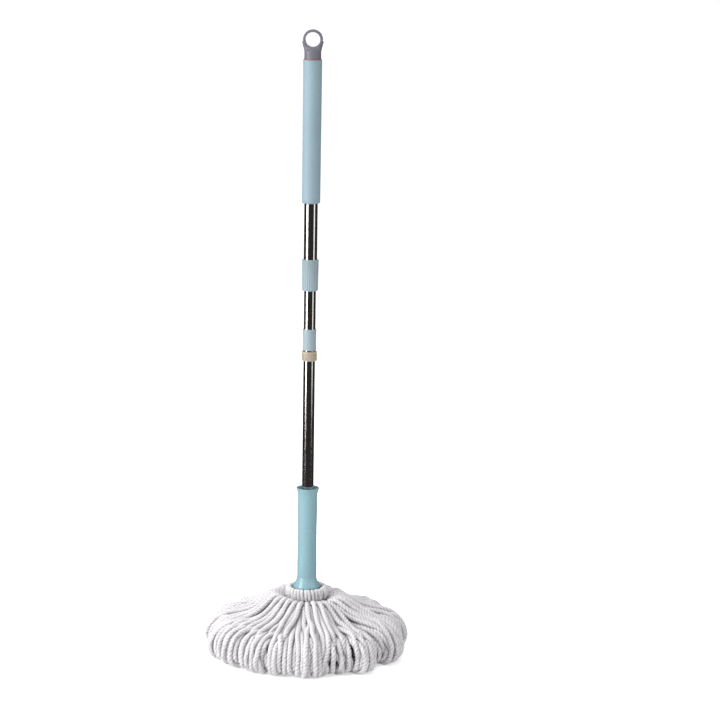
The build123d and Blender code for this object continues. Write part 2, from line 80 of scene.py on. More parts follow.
class Graph:
    """One node tree, with short ways to add and join its nodes."""

    def __init__(self, tree: bpy.types.NodeTree) -> None:
        """Wrap a tree.

        Args:
            tree: The node tree to build in.
        """
        self.tree = tree

    def add(self, kind: str, settings: dict | None = None, **inputs: object) -> bpy.types.Node:
        """Add a node.

        Args:
            kind: The node's type name without its "ShaderNode" prefix.
            settings: Properties of the node itself.
            **inputs: Input values or sockets to join, by name with _ for a space.

        Returns:
            The new node.
        """
        node = self.tree.nodes.new("ShaderNode" + kind)
        for name, value in (settings or {}).items():
            setattr(node, name, value)
        for name, value in inputs.items():
            self.feed(node, name.replace("_", " "), value)
        return node

    def feed(self, node: bpy.types.Node, socket: str | int, value: object) -> None:
        """Join a socket to an input, or set the input's own value.

        Args:
            node: The node that receives.
            socket: The input's name or number.
            value: A socket, a number or a colour.
        """
        if isinstance(value, bpy.types.NodeSocket):
            self.tree.links.new(value, node.inputs[socket])
        elif isinstance(value, tuple) and len(value) == 3 and node.inputs[socket].type == "RGBA":
            node.inputs[socket].default_value = (*value, 1.0)
        else:
            node.inputs[socket].default_value = value

    def math(self, operation: str, first: object, second: object = 0.0) -> bpy.types.NodeSocket:
        """Add a Math node.

        Args:
            operation: The Math node's operation.
            first: The first input.
            second: The second input.

        Returns:
            The result socket.
        """
        node = self.tree.nodes.new("ShaderNodeMath")
        node.operation = operation
        self.feed(node, 0, first)
        self.feed(node, 1, second)
        return node.outputs[0]

    def mix(self, factor: object, first: object, second: object) -> bpy.types.NodeSocket:
        """Mix two colours.

        Args:
            factor: Share of the second colour.
            first: The first colour.
            second: The second colour.

        Returns:
            The mixed colour's socket.
        """
        node = self.tree.nodes.new("ShaderNodeMix")
        node.data_type = "RGBA"
        self.feed(node, MIX_FACTOR, factor)
        self.feed(node, MIX_FIRST, first)
        self.feed(node, MIX_SECOND, second)
        return node.outputs[MIX_RESULT]

    def band(
        self, value: object, low: float, high: float, start: float, end: float
    ) -> bpy.types.NodeSocket:
        """Map a stretch of values smoothly to another.

        Args:
            value: The socket to map.
            low: Lower end of the incoming stretch.
            high: Upper end of the incoming stretch.
            start: Result at the lower end.
            end: Result at the upper end.

        Returns:
            The mapped socket.
        """
        node = self.add("MapRange", {"interpolation_type": "SMOOTHSTEP"}, Value=value)
        for name, number in (("From Min", low), ("From Max", high), ("To Min", start), ("To Max", end)):
            node.inputs[name].default_value = number
        return node.outputs[0]


class Effects:
    """Shader node groups that several finishes share, each built once."""

    BROAD_SCALE = 0.22
    BROAD_HEIGHT = 0.6
    WEAR_SCALE = 260.0
    ROUND_THE_POLE = (1.0, 1.0, 60.0)
    ALONG_THE_POLE = (30.0, 30.0, 0.7)
    ALONG_SHARE = 0.5

    def __init__(self) -> None:
        """Build every group."""
        self.grain = self._group("fine_grain", {"Scale": 900.0, "Stretch": 1.0}, self._grain, ("Height",))
        self.drift = self._group("colour_drift", {"Scale": 14.0, "Amount": 0.1}, self._drift, ("Mask",))
        self.wear = self._group("edge_wear", {"Width": 0.0012, "Amount": 0.5}, self._wear, ("Mask",))
        self.scratch = self._group("fine_scratches", {"Scale": 60.0, "Amount": 0.3}, self._scratch, ("Mask",))

    @staticmethod
    def _group(
        name: str,
        numbers: dict[str, float],
        build: Callable[[Graph, bpy.types.Node], tuple[bpy.types.NodeSocket, ...]],
        outputs: Sequence[str],
    ) -> bpy.types.NodeTree:
        """Make a group with number inputs and number outputs.

        Args:
            name: The group's name.
            numbers: Input names with their defaults.
            build: Fills the group and returns one socket for each output.
            outputs: Output names.

        Returns:
            The group's tree.
        """
        tree = bpy.data.node_groups.new(name, "ShaderNodeTree")
        for key, value in numbers.items():
            socket = tree.interface.new_socket(name=key, in_out="INPUT", socket_type="NodeSocketFloat")
            socket.default_value = value
        for key in outputs:
            tree.interface.new_socket(name=key, in_out="OUTPUT", socket_type="NodeSocketFloat")
        entry = tree.nodes.new("NodeGroupInput")
        leave = tree.nodes.new("NodeGroupOutput")
        for number, socket in enumerate(build(Graph(tree), entry)):
            tree.links.new(socket, leave.inputs[number])
        return tree

    @staticmethod
    def _grain(graph: Graph, entry: bpy.types.Node) -> tuple[bpy.types.NodeSocket, ...]:
        """Moulded grain: two noises, drawn out along Z by Stretch.

        Args:
            graph: The group's graph.
            entry: The node that holds the group's inputs.

        Returns:
            The height's socket.
        """
        place = graph.add("TexCoord").outputs["Object"]
        scale = graph.add("CombineXYZ", X=1.0, Y=1.0, Z=entry.outputs["Stretch"])
        moved = graph.add("VectorMath", {"operation": "MULTIPLY"})
        graph.feed(moved, 0, place)
        graph.feed(moved, 1, scale.outputs[0])
        fine = graph.add("TexNoise", Vector=moved.outputs[0], Scale=entry.outputs["Scale"], Detail=3.0)
        broad_scale = graph.math("MULTIPLY", entry.outputs["Scale"], Effects.BROAD_SCALE)
        broad = graph.add("TexNoise", Vector=moved.outputs[0], Scale=broad_scale, Detail=2.0)
        swell = graph.math("MULTIPLY", broad.outputs[0], Effects.BROAD_HEIGHT)
        return (graph.math("ADD", fine.outputs[0], swell),)

    @staticmethod
    def _drift(graph: Graph, entry: bpy.types.Node) -> tuple[bpy.types.NodeSocket, ...]:
        """Slow change of colour over a piece.

        Args:
            graph: The group's graph.
            entry: The node that holds the group's inputs.

        Returns:
            The mask's socket.
        """
        place = graph.add("TexCoord").outputs["Object"]
        noise = graph.add("TexNoise", Vector=place, Scale=entry.outputs["Scale"], Detail=4.0)
        eased = graph.band(noise.outputs[0], 0.3, 0.7, 0.0, 1.0)
        return (graph.math("MULTIPLY", eased, entry.outputs["Amount"]),)

    @staticmethod
    def _wear(graph: Graph, entry: bpy.types.Node) -> tuple[bpy.types.NodeSocket, ...]:
        """Rubbed edges, broken up by noise.

        Args:
            graph: The group's graph.
            entry: The node that holds the group's inputs.

        Returns:
            The mask's socket.
        """
        bevel = graph.add("Bevel", {"samples": 4}, Radius=entry.outputs["Width"])
        flat = graph.add("NewGeometry").outputs["Normal"]
        dot = graph.add("VectorMath", {"operation": "DOT_PRODUCT"})
        graph.feed(dot, 0, bevel.outputs[0])
        graph.feed(dot, 1, flat)
        edge = graph.band(dot.outputs["Value"], 0.7, 0.985, 1.0, 0.0)
        place = graph.add("TexCoord").outputs["Object"]
        noise = graph.add("TexNoise", Vector=place, Scale=Effects.WEAR_SCALE, Detail=5.0)
        broken = graph.math("MULTIPLY", edge, graph.band(noise.outputs[0], 0.35, 0.65, 0.0, 1.0))
        return (graph.math("MULTIPLY", broken, entry.outputs["Amount"]),)

    @staticmethod
    def _scratch(graph: Graph, entry: bpy.types.Node) -> tuple[bpy.types.NodeSocket, ...]:
        """Hair scratches round the pole and a few along it.

        Args:
            graph: The group's graph.
            entry: The node that holds the group's inputs.

        Returns:
            The mask's socket.
        """
        place = graph.add("TexCoord").outputs["Object"]
        masks = []
        for stretch, share in ((Effects.ROUND_THE_POLE, 1.0), (Effects.ALONG_THE_POLE, Effects.ALONG_SHARE)):
            moved = graph.add("VectorMath", {"operation": "MULTIPLY"})
            graph.feed(moved, 0, place)
            graph.feed(moved, 1, stretch)
            noise = graph.add("TexNoise", Vector=moved.outputs[0], Scale=entry.outputs["Scale"], Detail=6.0)
            masks.append(graph.math("MULTIPLY", graph.band(noise.outputs[0], 0.52, 0.75, 0.0, 1.0), share))
        both = graph.math("ADD", masks[0], masks[1])
        return (graph.math("MULTIPLY", both, entry.outputs["Amount"]),)


def new_material(name: str) -> tuple[bpy.types.Material, Graph, bpy.types.Node]:
    """Start a material with an empty Principled shader.

    Args:
        name: The material's name.

    Returns:
        The material, its graph and its Principled node.
    """
    material = bpy.data.materials.new(name)
    material.use_nodes = True
    graph = Graph(material.node_tree)
    return material, graph, material.node_tree.nodes["Principled BSDF"]


def place_group(graph: Graph, tree: bpy.types.NodeTree, **numbers: float) -> bpy.types.Node:
    """Put a shared effect in a material.

    Args:
        graph: The material's graph.
        tree: The effect's group.
        **numbers: The group's inputs for this material.

    Returns:
        The group node.
    """
    node = graph.tree.nodes.new("ShaderNodeGroup")
    node.node_tree = tree
    for name, value in numbers.items():
        node.inputs[name].default_value = value
    return node


# --- Finishes -----------------------------------------------------------------------------


@dataclass(frozen=True)
class Plastic:
    """Moulded plastic with grain, a slow drift of colour and rubbed edges."""

    name: str
    colour: Colour
    deep: Colour
    roughness: float
    grain_scale: float = 1400.0
    grain_depth: float = 0.00004
    grain_stretch: float = 1.0
    coat: float = 0.0
    wear: float = 0.35
    worn_lift: float = 0.25
    worn_share: float = 0.85
    rubbed: float = 0.15

    def build(self, effects: Effects) -> bpy.types.Material:
        """Make the material.

        Args:
            effects: The shared effect groups.

        Returns:
            The finished material.
        """
        material, graph, shader = new_material(self.name)
        drift = place_group(graph, effects.drift, Scale=16.0, Amount=0.55)
        base = graph.mix(drift.outputs[0], self.colour, self.deep)
        wear = place_group(graph, effects.wear, Width=0.0009, Amount=self.wear)
        worn = tuple(min(1.0, self.worn_lift + self.worn_share * part) for part in self.colour)
        graph.feed(shader, "Base Color", graph.mix(wear.outputs[0], base, worn))
        grain = place_group(graph, effects.grain, Scale=self.grain_scale, Stretch=self.grain_stretch)
        rough = graph.band(grain.outputs[0], 0.5, 1.1, self.roughness - 0.05, self.roughness + 0.07)
        rubbed = graph.math("MULTIPLY", wear.outputs[0], self.rubbed)
        graph.feed(shader, "Roughness", graph.math("ADD", rough, rubbed))
        bump = graph.add("Bump", Strength=0.7, Distance=self.grain_depth, Height=grain.outputs[0])
        graph.feed(shader, "Normal", bump.outputs[0])
        shader.inputs["Coat Weight"].default_value = self.coat
        shader.inputs["Coat Roughness"].default_value = 0.12
        shader.inputs["IOR"].default_value = 1.49
        return material


@dataclass(frozen=True)
class Steel:
    """Polished or plain stainless steel with fine scratches."""

    name: str
    colour: Colour
    roughness: float
    scratches: float
    drifted: float = 0.86

    def build(self, effects: Effects) -> bpy.types.Material:
        """Make the material.

        Args:
            effects: The shared effect groups.

        Returns:
            The finished material.
        """
        material, graph, shader = new_material(self.name)
        drift = place_group(graph, effects.drift, Scale=9.0, Amount=0.5)
        warm = tuple(part * self.drifted for part in self.colour)
        graph.feed(shader, "Base Color", graph.mix(drift.outputs[0], self.colour, warm))
        shader.inputs["Metallic"].default_value = 1.0
        scratch = place_group(graph, effects.scratch, Scale=60.0, Amount=self.scratches)
        graph.feed(shader, "Roughness", graph.math("ADD", scratch.outputs[0], self.roughness))
        bump = graph.add("Bump", Strength=0.25, Distance=0.00002, Height=scratch.outputs[0])
        graph.feed(shader, "Normal", bump.outputs[0])
        return material


@dataclass(frozen=True)
class Yarn:
    """White twisted yarn: fibres, soft sheen and painted shade in the grooves between plies."""

    name: str = "yarn"
    colour: Colour = (0.92, 0.905, 0.935)
    shade: Colour = (0.79, 0.765, 0.785)
    # Painted shade: the colour laid into the grooves between plies.
    groove_shade: Colour = (0.64, 0.61, 0.61)
    glow: float = 0.22
    glow_depth: float = 0.004
    groove_shade_share: float = 0.9
    fibre_height: float = 0.8
    fuzz_depth: float = 0.0011

    def build(self, effects: Effects) -> bpy.types.Material:
        """Make the material.

        Args:
            effects: The shared effect groups.

        Returns:
            The finished material.
        """
        material, graph, shader = new_material(self.name)
        place = graph.add("TexCoord").outputs["Object"]
        lie = graph.add("Attribute", {"attribute_name": "fibre_lie"}).outputs["Vector"]
        depth = graph.add("Attribute", {"attribute_name": "groove_shade"}).outputs["Fac"]
        tuft = graph.add("TexNoise", Vector=place, Scale=420.0, Detail=4.0, Roughness=0.65)
        fibre = graph.add("TexNoise", Vector=lie, Scale=1500.0, Detail=4.0, Roughness=0.7)
        drift = place_group(graph, effects.drift, Scale=38.0, Amount=0.3)
        # Painted shade: the colour darkens towards the bottom of each groove between plies.
        groove_shade = graph.math("MULTIPLY", graph.band(depth, 0.1, 0.8, 0.0, 1.0), self.groove_shade_share)
        plies = graph.mix(groove_shade, self.colour, self.groove_shade)
        shaded = graph.mix(graph.band(tuft.outputs[0], 0.32, 0.55, 0.4, 0.0), plies, self.shade)
        streaks = graph.mix(graph.band(fibre.outputs[0], 0.35, 0.6, 0.35, 0.0), shaded, self.shade)
        graph.feed(shader, "Base Color", graph.mix(drift.outputs[0], streaks, self.shade))
        fibres = graph.math("MULTIPLY", fibre.outputs[0], self.fibre_height)
        height = graph.math("ADD", tuft.outputs[0], fibres)
        bump = graph.add("Bump", Strength=1.0, Distance=self.fuzz_depth, Height=height)
        graph.feed(shader, "Normal", bump.outputs[0])
        graph.feed(shader, "Roughness", graph.band(fibre.outputs[0], 0.3, 0.7, 0.82, 0.97))
        shader.inputs["Subsurface Weight"].default_value = self.glow
        shader.inputs["Subsurface Radius"].default_value = (1.0, 1.0, 1.0)
        shader.inputs["Subsurface Scale"].default_value = self.glow_depth
        shader.inputs["Sheen Weight"].default_value = 0.25
        shader.inputs["Sheen Roughness"].default_value = 0.6
        shader.inputs["Specular IOR Level"].default_value = 0.2
        return material


class Finish(Enum):
    """Every finish on the mop."""

    TUBE = Steel("tube_steel", (0.66, 0.64, 0.62), 0.13, 0.10)
    HARDWARE = Steel("hardware_steel", (0.58, 0.58, 0.58), 0.30, 0.25)
    GRIP = Plastic(
        "grip_plastic", (0.262, 0.368, 0.425), (0.24, 0.34, 0.395), 0.55, 1500.0, 0.00012, wear=0.2
    )
    PALE = Plastic("pale_blue_plastic", (0.317, 0.40, 0.437), (0.29, 0.372, 0.41), 0.38, 1600.0, 0.00004)
    TEAL = Plastic(
        "teal_plastic", (0.275, 0.452, 0.505), (0.25, 0.42, 0.475), 0.24, 900.0, 0.00003, coat=0.35
    )
    DARK_TEAL = Plastic("dark_teal_plastic", (0.045, 0.12, 0.135), (0.03, 0.09, 0.105), 0.4)
    CAP = Plastic("grey_plastic", (0.165, 0.158, 0.188), (0.148, 0.141, 0.17), 0.42, 1500.0, 0.00005)
    PEACH = Plastic("peach_plastic", (0.29, 0.125, 0.105), (0.26, 0.11, 0.092), 0.45)
    BEIGE = Plastic("beige_plastic", (0.48, 0.415, 0.325), (0.44, 0.375, 0.29), 0.45, 1300.0, 0.00005)
    PLATE = Plastic("dark_grey_plastic", (0.05, 0.05, 0.055), (0.04, 0.04, 0.045), 0.5)
    INNER = Plastic("inner_plastic", (0.75, 0.75, 0.72), (0.70, 0.70, 0.67), 0.4)
    YARN = Yarn()


# --- Mesh helpers ---------------------------------------------------------------------------


def finish_piece(name: str, mesh: bpy.types.Mesh, material: bpy.types.Material) -> bpy.types.Object:
    """Link a mesh as a piece at the origin.

    Args:
        name: The piece's name.
        mesh: Its final mesh.
        material: Its finish.

    Returns:
        The new object.
    """
    piece = bpy.data.objects.new(name, mesh)
    bpy.context.scene.collection.objects.link(piece)
    mesh.materials.clear()
    mesh.materials.append(material)
    mesh.shade_smooth()
    log.info("%s: %d faces", name, len(mesh.polygons))
    return piece


def cylindrical(radius: float, angle: float, height: float) -> Vector:
    """Point at a radius, an angle in radians and a height."""
    return Vector((radius * math.cos(angle), radius * math.sin(angle), height))


@dataclass
class Rope:
    """Three plies twisted together, swept along smooth paths."""

    radius: float
    pitch: float
    steps: int
    outline: tuple[float, ...] = (0.64, 0.93, 1.0, 0.93) * 3
    ring_step: float = 2.0 * MM
    fibre_stretch: float = 0.25
    stagger: float = 0.37
    wobble: float = 0.6
    wobble_rate: float = 61.0
    section: bpy.types.Object = field(init=False)

    def __post_init__(self) -> None:
        """Draw the cross-section: three round plies with a groove between each two."""
        curve = bpy.data.curves.new("ply_section", "CURVE")
        curve.dimensions = "2D"
        spline = curve.splines.new("POLY")
        spline.points.add(len(self.outline) - 1)
        spline.use_cyclic_u = True
        for number, share in enumerate(self.outline):
            angle = TURN * number / len(self.outline)
            reach = self.radius * share
            spline.points[number].co = (reach * math.cos(angle), reach * math.sin(angle), 0.0, 1.0)
        self.section = bpy.data.objects.new("ply_section", curve)
        bpy.context.scene.collection.objects.link(self.section)

    def mesh(self, name: str, paths: Sequence[Sequence[tuple[Vector, float]]]) -> bpy.types.Mesh:
        """Sweep the section along several paths.

        Args:
            name: The mesh's name.
            paths: Paths of (control point, thickness share) pairs.

        Returns:
            One mesh that holds every strand.
        """
        curve = bpy.data.curves.new(name, "CURVE")
        curve.dimensions = "3D"
        curve.bevel_mode = "OBJECT"
        curve.bevel_object = self.section
        curve.use_fill_caps = True
        curve.twist_mode = "MINIMUM"
        for number, path in enumerate(paths):
            self._add_spline(curve, path, number)
        holder = bpy.data.objects.new(name, curve)
        bpy.context.scene.collection.objects.link(holder)
        depsgraph = bpy.context.evaluated_depsgraph_get()
        made = bpy.data.meshes.new_from_object(holder.evaluated_get(depsgraph), depsgraph=depsgraph)
        bpy.data.objects.remove(holder)
        bpy.data.curves.remove(curve)
        self._mark_plies(made)
        self._close(made)
        return made

    def _mark_plies(self, mesh: bpy.types.Mesh) -> None:
        """Store where each point lies in its ply, for the yarn's finish; the groove depth sets its painted
        shade.

        Args:
            mesh: A mesh of whole rings, one after the other, as the sweep leaves it.
        """
        around = np.arange(len(mesh.vertices)) % len(self.outline)
        along = np.arange(len(mesh.vertices)) // len(self.outline) * self.ring_step
        shares = np.array(self.outline)[around]
        angle = TURN * around / len(self.outline)
        reach = self.radius * shares
        lie = np.column_stack((reach * np.cos(angle), reach * np.sin(angle), along * self.fibre_stretch))
        # Groove depth, which darkens the yarn's colour as painted shade.
        depth = mesh.attributes.new("groove_shade", "FLOAT", "POINT")
        depth.data.foreach_set("value", (1.0 - shares) / (1.0 - min(self.outline)))
        fibre = mesh.attributes.new("fibre_lie", "FLOAT_VECTOR", "POINT")
        fibre.data.foreach_set("vector", lie.ravel())

    def _add_spline(
        self, curve: bpy.types.Curve, path: Sequence[tuple[Vector, float]], number: int
    ) -> None:
        """Add one strand's spline, with a tilt that grows along it.

        Args:
            curve: The curve that takes the spline.
            path: Control points with their thickness shares.
            number: The strand's place in the piece, which sets where its twist starts.
        """
        spline = curve.splines.new("NURBS")
        spline.points.add(len(path) - 1)
        travelled = number * self.pitch * self.stagger
        last = path[0][0]
        for point, (place, share) in zip(spline.points, path):
            travelled += (place - last).length
            last = place
            point.co = (*place, 1.0)
            point.radius = share
            uneven = self.wobble * math.sin(travelled * self.wobble_rate + number)
            point.tilt = TURN * travelled / self.pitch + uneven
        spline.order_u = 4
        spline.use_endpoint_u = True
        spline.resolution_u = self.steps

    @staticmethod
    def _close(mesh: bpy.types.Mesh) -> None:
        """Merge doubled points and turn every face outwards.

        Args:
            mesh: The mesh, changed in place.
        """
        work = bmesh.new()
        work.from_mesh(mesh)
        bmesh.ops.remove_doubles(work, verts=work.verts, dist=1e-6)
        bmesh.ops.recalc_face_normals(work, faces=work.faces)
        work.to_mesh(mesh)
        work.free()

    def discard(self) -> None:
        """Remove the section when no more rope is needed."""
        curve = self.section.data
        bpy.data.objects.remove(self.section)
        bpy.data.curves.remove(curve)


# --- Sub-assemblies ---------------------------------------------------------------------------


@dataclass
class FixedPieces:
    """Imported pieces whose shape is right, which only get their finish."""

    finishes: dict[str, Finish] = field(
        default_factory=lambda: {
            "lower_tube": Finish.TUBE,
            "upper_tube": Finish.TUBE,
            "collar_pin": Finish.HARDWARE,
            "hub_pin": Finish.HARDWARE,
            "plug_pins": Finish.HARDWARE,
            "ring_clip": Finish.HARDWARE,
            "base_screw": Finish.HARDWARE,
            "guide_plug": Finish.INNER,
            "end_plug": Finish.INNER,
            "collet": Finish.INNER,
            "upper_bush": Finish.INNER,
            "lower_bush": Finish.INNER,
            "drive_ring": Finish.INNER,
            "ratchet_hub": Finish.BEIGE,
            "ratchet_ring": Finish.BEIGE,
            "stop_collar": Finish.PALE,
            "lock_nut": Finish.PALE,
            "grip": Finish.GRIP,
            "trim_ring": Finish.PEACH,
            "hanging_cap": Finish.CAP,
            "head_collar": Finish.DARK_TEAL,
            "base_plate": Finish.PLATE,
            "base_clamp": Finish.PLATE,
            "neck_ring": Finish.PLATE,
        }
    )

    def dress(self, materials: dict[Finish, bpy.types.Material]) -> None:
        """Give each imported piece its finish.

        Args:
            materials: The built material of each finish.
        """
        for name, finish in self.finishes.items():
            mesh = frame["nodes"][name].data
            mesh.materials.clear()
            mesh.materials.append(materials[finish])
            log.info("%s: %s", name, finish.name.lower())


@dataclass
class WringerSleeve:
    """The teal sleeve, with its flared foot, funnel mouth and anti-slip lozenges."""

    segments: int = 192
    rows: int = 120
    lozenges: int = 28
    relief: float = 0.4 * MM
    wall: float = 2.25 * MM
    body_radius: float = 18.15 * MM
    mouth_radius: float = 21.75 * MM
    foot_edge: float = 0.6 * MM
    flare_steps: int = 10
    foot_curve: float = 1.6
    mouth_curve: float = 1.8
    lozenge_length: float = 1.5
    lozenge_edge: float = 0.7
    mouth_height: float = 16.0 * MM
    foot_height: float = 22.0 * MM
    lip_height: float = 3.0 * MM
    grip_margin: float = 16.0 * MM
    waist: float = 0.8 * MM

    def build(self, material: bpy.types.Material) -> bpy.types.Object:
        """Spin the sleeve's outline, raise its lozenges and put it in place.

        Args:
            material: The sleeve's finish.

        Returns:
            The finished sleeve.
        """
        low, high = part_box("sleeve")
        work = bmesh.new()
        outline = self._outline(low, high)
        points = [work.verts.new(cylindrical(radius, 0.0, height)) for radius, height in outline]
        edges = [work.edges.new(pair) for pair in zip(points, points[1:] + points[:1])]
        body = max(edges[: len(outline) // 2], key=lambda edge: edge.calc_length())
        bmesh.ops.subdivide_edges(work, edges=[body], cuts=self.rows)
        bmesh.ops.spin(
            work,
            geom=[*work.verts, *work.edges],
            cent=(0.0, 0.0, 0.0),
            axis=(0.0, 0.0, 1.0),
            angle=TURN,
            steps=self.segments,
            use_merge=True,
        )
        bmesh.ops.remove_doubles(work, verts=work.verts, dist=1e-7)
        self._raise_lozenges(work, low.z + self.foot_height, high.z - self.mouth_height)
        bmesh.ops.recalc_face_normals(work, faces=work.faces)
        mesh = bpy.data.meshes.new("wringer_sleeve")
        work.to_mesh(mesh)
        work.free()
        piece = finish_piece("wringer_sleeve", mesh, material)
        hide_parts("sleeve")
        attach(piece, "wringer_sleeve")
        return piece

    def _outline(self, low: Vector, high: Vector) -> list[tuple[float, float]]:
        """Outline of the wall, up the outside and down the inside.

        Args:
            low: Lowest corner of the sleeve's box.
            high: Highest corner of the sleeve's box.

        Returns:
            Points as (radius, height), the longest edge being the plain body.
        """
        foot_radius = high.x
        mouth_radius = self.mouth_radius
        lip_top = low.z + self.lip_height
        foot_top = low.z + self.foot_height
        mouth_start = high.z - self.mouth_height
        outside = [(foot_radius - self.foot_edge, low.z), (foot_radius, low.z + self.foot_edge)]
        steps = self.flare_steps
        for step in range(steps + 1):
            share = step / steps
            eased = (1.0 - share) ** self.foot_curve
            radius = self.body_radius + (foot_radius - self.body_radius) * eased
            outside.append((radius, lip_top + (foot_top - lip_top) * share))
        for step in range(steps + 1):
            share = step / steps
            radius = self.body_radius + (mouth_radius - self.body_radius) * share**self.mouth_curve
            outside.append((radius, mouth_start + (high.z - 0.8 * MM - mouth_start) * share))
        rim = [(mouth_radius - 0.25 * MM, high.z - 0.2 * MM), (mouth_radius - 0.9 * MM, high.z)]
        bore = self.body_radius - self.wall
        inside = [
            (mouth_radius - 1.9 * MM, high.z - 0.3 * MM),
            (mouth_radius - 2.3 * MM, high.z - 1.2 * MM),
            (bore + 1.6 * MM, high.z - 9.0 * MM),
            (bore, high.z - 15.9 * MM),
            (bore, foot_top),
            (foot_radius - self.wall - 3.0 * MM, lip_top + 4.0 * MM),
            (foot_radius - self.wall, low.z),
        ]
        return outside + rim + inside

    def _raise_lozenges(self, work: bmesh.types.BMesh, bottom: float, top: float) -> None:
        """Raise staggered lozenges on the outside of the body.

        Args:
            work: The spun sleeve.
            bottom: Height where the plain body starts.
            top: Height where it ends.
        """
        start = bottom + self.grip_margin
        end = top - self.grip_margin
        tolerance = 0.05 * MM
        pitch = TURN * self.body_radius / self.lozenges * self.lozenge_length
        for vert in work.verts:
            radius = math.hypot(vert.co.x, vert.co.y)
            if abs(radius - self.body_radius) > tolerance or not bottom < vert.co.z < top:
                continue
            angle = math.atan2(vert.co.y, vert.co.x) * self.lozenges / 2.0
            height = (vert.co.z - start) / pitch * math.pi
            fade = max(0.0, min(1.0, (vert.co.z - start) / pitch, (end - vert.co.z) / pitch))
            crossing = abs(math.cos(angle + height) * math.cos(angle - height))
            lift = self.relief * fade * crossing**self.lozenge_edge
            along = (vert.co.z - bottom) / (top - bottom)
            share = (radius + lift - self.waist * math.sin(math.pi * along) ** 2) / radius
            vert.co.x *= share
            vert.co.y *= share


@dataclass
class StrandPile:
    """Settles many strands on the floor, against the pole and against each other."""

    thickness: float
    floor: float
    rounds: int = 42
    search_every: int = 6
    push: float = 0.42
    soften: float = 0.22
    pull: float = 0.025
    draw_back: float = 0.25
    search_reach: float = 1.4
    crowded_radius: float = 20.0 * MM
    crowded_width: float = 38.0 * MM
    crowded_share: float = 0.5
    neck_radius: float = 36.0 * MM
    roll_radius: float = 45.2 * MM
    roll_underside: float = 100.0 * MM

    def settle(self, strands: list[np.ndarray]) -> list[np.ndarray]:
        """Move the strands' points until they lie beside and on each other.

        Args:
            strands: One array of points for each strand, both ends being held.

        Returns:
            The settled points of each strand.
        """
        sizes = [len(strand) for strand in strands]
        points = np.concatenate(strands)
        target = points.copy()
        owner = np.repeat(np.arange(len(strands)), sizes)
        inner = np.ones(len(points), dtype=bool)
        starts = np.cumsum([0, *sizes])
        for begin, end in zip(starts, starts[1:]):
            inner[[begin, begin + 1, end - 2, end - 1]] = False
        middle = np.flatnonzero(inner)
        linked = np.flatnonzero(owner[:-1] == owner[1:])
        rest = np.linalg.norm(points[linked + 1] - points[linked], axis=1)
        for number in range(self.rounds):
            if number % self.search_every == 0:
                pairs = self._pairs(points, owner)
            move = self._contacts(points, pairs)
            points[middle] += move[middle]
            bend = (points[middle - 1] + points[middle + 1]) / 2.0 - points[middle]
            points[middle] += self.soften * bend + self.pull * (target[middle] - points[middle])
            self._keep_length(points, linked, rest, inner)
            self._keep_out(points, middle)
        return np.split(points, starts[1:-1])

    def _pairs(self, points: np.ndarray, owner: np.ndarray) -> np.ndarray:
        """Pairs of points of different strands that are near each other.

        Args:
            points: Every point.
            owner: The strand that each point belongs to.

        Returns:
            Rows of two point numbers.
        """
        tree = KDTree(len(points))
        for number, point in enumerate(points):
            tree.insert(point, number)
        tree.balance()
        found = [
            (number, other)
            for number, point in enumerate(points)
            for _, other, _ in tree.find_range(point, self.thickness * self.search_reach)
            if other > number and owner[other] != owner[number]
        ]
        return np.array(found)

    def _contacts(self, points: np.ndarray, pairs: np.ndarray) -> np.ndarray:
        """How far each point is pushed by its neighbours.

        Args:
            points: Every point.
            pairs: Rows of two neighbouring point numbers.

        Returns:
            One move for each point.
        """
        first, second = pairs[:, 0], pairs[:, 1]
        apart = points[second] - points[first]
        distance = np.linalg.norm(apart, axis=1) + 1e-9
        radius = np.linalg.norm(points[first][:, :2], axis=1)
        eased = (radius - self.crowded_radius) / self.crowded_width
        room = self.thickness * np.clip(eased, self.crowded_share, 1.0)
        overlap = np.clip(room - distance, 0.0, None) * self.push
        step = apart * (overlap / distance)[:, None]
        move = np.zeros_like(points)
        np.add.at(move, first, -step)
        np.add.at(move, second, step)
        longest = self.thickness / 4.0
        return np.clip(move, -longest, longest)

    def _keep_length(
        self, points: np.ndarray, linked: np.ndarray, rest: np.ndarray, inner: np.ndarray
    ) -> None:
        """Draw each strand's points part of the way back to their first spacing.

        Args:
            points: Every point, changed in place.
            linked: Points that have a next point on their strand.
            rest: The first spacing.
            inner: Which points may move.
        """
        apart = points[linked + 1] - points[linked]
        distance = np.linalg.norm(apart, axis=1) + 1e-9
        step = apart * (self.draw_back * (distance - rest) / distance)[:, None]
        move = np.zeros_like(points)
        move[linked] += step
        move[linked + 1] -= step
        points[inner] += move[inner]

    def _keep_out(self, points: np.ndarray, middle: np.ndarray) -> None:
        """Keep points off the floor, the inner column and the rolled neck.

        Args:
            points: Every point, changed in place.
            middle: The points that may move.
        """
        place = points[middle]
        place[:, 2] = np.maximum(place[:, 2], self.floor)
        radius = np.linalg.norm(place[:, :2], axis=1) + 1e-9
        least = np.where(place[:, 2] > self.roll_underside, self.roll_radius, self.neck_radius)
        place[:, :2] *= (np.maximum(radius, least) / radius)[:, None]
        points[middle] = place


@dataclass
class Finger:
    """One bunch of neighbouring strands and how it lies."""

    centre: float
    squeeze: float
    reach: float
    lift: float
    sway: float
    phase: float
    lean: float
    curl: float


